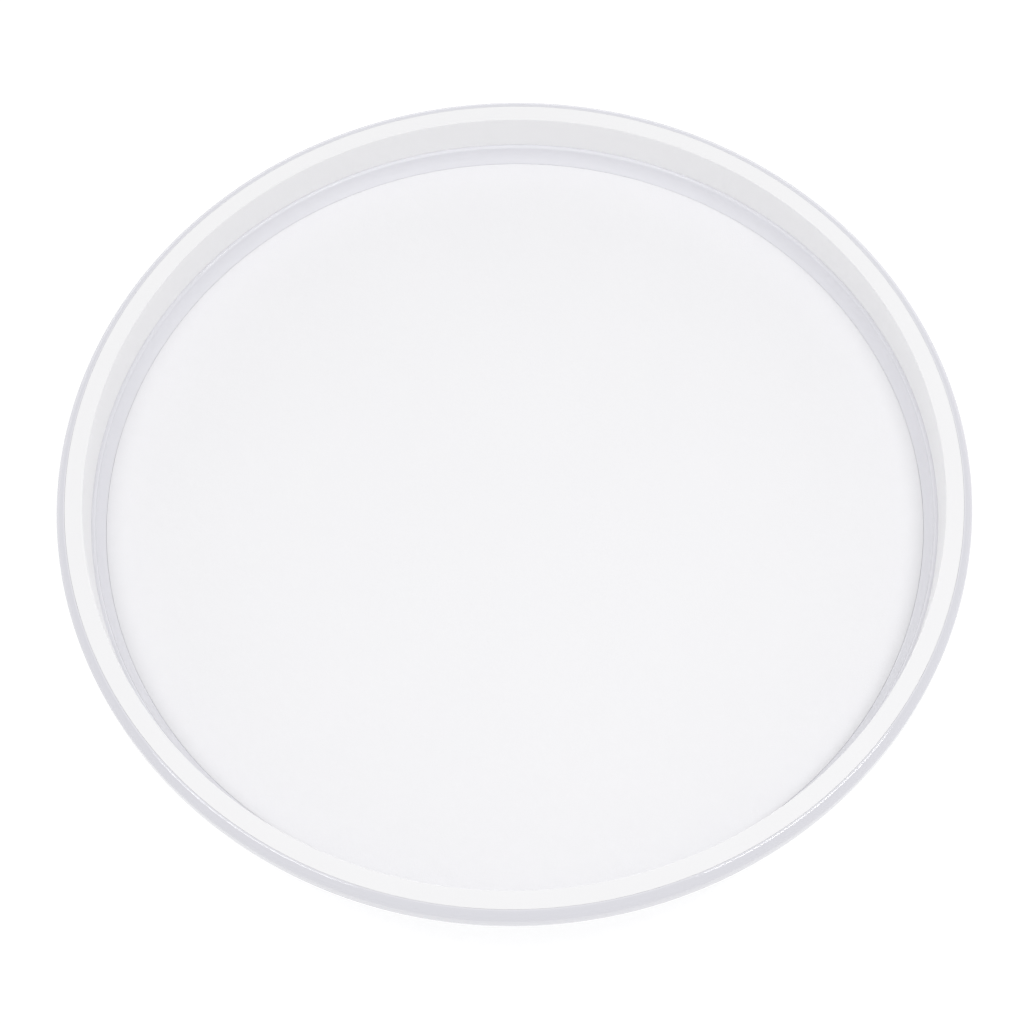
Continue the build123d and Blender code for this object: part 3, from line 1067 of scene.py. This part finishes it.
# %% Polished ball steel
def make_ball_steel():
    finish = Finish("ball_steel", Metallic=1.0, Coat_Weight=0.15, Coat_Roughness=0.1)
    drawn = finish.stretched(finish.place, (0.15, 1.0, 1.0))
    scratches = finish.ramp(finish.noise(drawn, 0.12 * MM, detail=3, roughness=0.7), (0.64, 0.0), (0.7, 1.0))
    smear = finish.noise(finish.place, 1.6 * MM, detail=3)
    finish.set("Base Color", finish.mix_colours(smear, grey(0.56, 0.565, 0.57), grey(0.62, 0.62, 0.615)))
    finish.set("Roughness", 0.05 + 0.07 * smear + 0.12 * scratches)
    finish.set("Normal", finish.relief(1 - scratches, 0.002 * MM, strength=0.4))
    return finish.done()


ball_steel = make_ball_steel()

# %% [markdown]
# ## Giving out the finishes
#
# The tray has two finishes on one skin. A face belongs to the satin under side when it lies below the
# middle of the plastic's thickness, whether that is the floor, the cove or the hollow rim. The frame's
# own nodes keep their meshes and only get a material in their slots.

# %% Helpers: choosing faces
def edit(piece):
    """Goes into edit mode on one piece, with none of its points selected."""
    select_only(piece)
    bpy.ops.object.mode_set(mode="EDIT")
    bpy.ops.mesh.select_all(action="DESELECT")


def select_faces(test):
    """In edit mode, selects just the faces whose middle passes a test, and counts them."""
    bpy.ops.mesh.select_all(action="DESELECT")
    bpy.ops.mesh.select_mode(type="FACE")
    shape = bmesh.from_edit_mesh(bpy.context.object.data)
    chosen = [face for face in shape.faces if test(face.calc_center_median())]
    for face in chosen:
        face.select_set(True)
    bmesh.update_edit_mesh(bpy.context.object.data)
    return len(chosen)


def is_under_side(middle):
    """Whether a face of the tray lies below the middle of the plastic's thickness."""
    radius = middle.xy.length
    height = middle.z
    if radius > (band_back + wall_back) / 2:
        in_channel = radius < skirt_radius(height) - skirt_wall / 2
        return in_channel and height < band_seat - rim_roof / 2
    if radius > cove_center and height < cove_top:
        depth = math.hypot(radius - cove_center, height - cove_top)
        return depth > cove_radius + floor_thickness / 2
    return height < floor_top - floor_thickness / 2


# %% Give the new pieces their finishes
tray_shell.data.materials.append(tray_gloss)
tray_shell.data.materials.append(tray_satin)
edit(tray_shell)
under_faces = select_faces(is_under_side)
tray_shell.active_material_index = 1
bpy.ops.object.material_slot_assign()
leave_edit()
print(under_faces, "of", len(tray_shell.data.polygons), "faces of the tray are satin")

turned_base.data.materials.append(base_satin)
soft_band.data.materials.append(band_matte)
grip_mat.data.materials.append(mat_stipple)
for foot in rubber_feet:
    foot.data.materials.append(foot_rubber)

# %% Give the frame's nodes their finishes
node_finishes = {
    "ball_cage": cage_acetal,
    "pivot_bush": bush_nylon,
    "slip_washer": washer_nylon,
    "pivot_screw": turned_zinc,
    "retaining_washer": turned_zinc,
}
for name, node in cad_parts.items():
    finish = ball_steel if name.startswith("bearing_ball_") else node_finishes.get(name)
    if finish:
        node.material_slots[0].material = finish
print(len(bpy.data.materials), "materials in all")

# %% [markdown]
# ## The table and the light
#
# White goods are shown on a light table: a sheet of opal plastic lit from below, which swallows
# shadows. Here that is one large plane with a strong glow of its own. The sheet itself is a middling
# grey with a faint speckle, so its glow and not the room sets how bright it is.
#
# The room round it is a white tent, brightest low on its walls and again straight above, and dimmest in
# between. It leans a little: the back is lighter at the foot, and the front is lighter higher up. A
# bright low strip at the back hides where the table ends. Two long soft lamps, high on the left and
# right, draw the glints on the cove and on the rim.

# %% Light table
bpy.ops.object.select_all(action="DESELECT")
table_size = 6                  # metres, so that its edges are far off
bpy.ops.mesh.primitive_plane_add(size=table_size)
light_table = bpy.context.object
light_table.name = "light_table"
opal = Finish("opal_sheet", Roughness=0.6, Emission_Strength=0.70)
speckle = opal.noise(opal.place, 4 * MM, detail=2)
opal.set("Base Color", opal.mix_colours(speckle, grey(0.34, 0.34, 0.34), grey(0.36, 0.36, 0.36)))
opal.set("Emission Color", grey(1.0, 1.0, 1.0))
light_table.data.materials.append(opal.done())
light_table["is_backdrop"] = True

# %% Room light
glow_by_rise = (
    (0.00, 0.86),
    (0.20, 0.99),
    (0.34, 1.00),
    (0.50, 0.86),
    (0.70, 0.67),
    (0.87, 0.73),
    (1.00, 1.02),
)
lean_at_foot = 0.19             # extra glow at the back, at the tent's foot
lean_fall = 0.52                # how fast it turns into extra glow in front
backdrop_glow = 3.0
room = bpy.data.worlds.new("white_tent")
bpy.context.scene.world = room
room.use_nodes = True
tent = Graph(room.node_tree)
direction = tent.node("ShaderNodeTexCoord", output=0)
rise = tent.maths("MAXIMUM", tent.along(direction, 2), 0.0)
wall_glow = tent.ramp(rise, *glow_by_rise)
backwards_share = tent.along(direction, 1)
lean_glow = backwards_share * (lean_at_foot - lean_fall * rise)
backdrop = tent.ramp(rise, (0.0, 1.0), (0.18, 0.0)) * tent.ramp(backwards_share, (0.3, 0.0), (0.85, 1.0))
background = room.node_tree.nodes["Background"]
background.inputs["Color"].default_value = (1, 1, 1, 1)
tent.feed(background.inputs["Strength"], wall_glow + lean_glow + backdrop_glow * backdrop)
print("tent glow from the foot to the top:", [glow for place, glow in glow_by_rise])

# %% Two soft lamps
lamp_distance = 1.2
lamp_width = 0.16
lamp_length = 0.42
lamp_powers = {-1: 1.5, 1: 2.2}  # in watts, left and right
lamp_aside, lamp_back, lamp_up = 0.397, -0.102, 0.912
length_aside, length_back = 0.81, 0.59
for side, lamp_power in lamp_powers.items():
    lamp = bpy.data.lights.new("soft_lamp", "AREA")
    lamp.shape = "RECTANGLE"
    lamp.size = lamp_length
    lamp.size_y = lamp_width
    lamp.energy = lamp_power
    holder = bpy.data.objects.new("soft_lamp", lamp)
    bpy.context.scene.collection.objects.link(holder)
    backwards = Vector((lamp_aside * side, lamp_back, lamp_up)).normalized()
    upwards = backwards.cross(Vector((length_aside * side, length_back, 0))).normalized()
    lengthways = upwards.cross(backwards)
    holder.rotation_euler = Matrix((lengthways, upwards, backwards)).transposed().to_euler()
    holder.location = lamp_distance * backwards
bpy.context.scene.view_settings.view_transform = "Standard"
print("light table, white tent and two lamps in place")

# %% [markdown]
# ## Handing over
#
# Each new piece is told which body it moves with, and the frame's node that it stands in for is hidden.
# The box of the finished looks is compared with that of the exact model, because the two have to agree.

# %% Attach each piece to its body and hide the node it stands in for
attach(tray_shell, "tray")
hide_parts("tray")
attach(soft_band, "tray")
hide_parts("rim_band")
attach(grip_mat, "tray")
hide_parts("floor_mat")
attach(turned_base, "base")
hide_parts("base")
for number, foot in enumerate(rubber_feet, start=1):
    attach(foot, "base")
    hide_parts(f"foot_{number}")

# %% Compare the sizes and finish
look_low, look_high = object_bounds()
differences = [abs(a - b) / MM for a, b in zip([*cad_low, *cad_high], [*look_low, *look_high])]
print(f"largest difference from the exact model: {max(differences):.3f} mm")
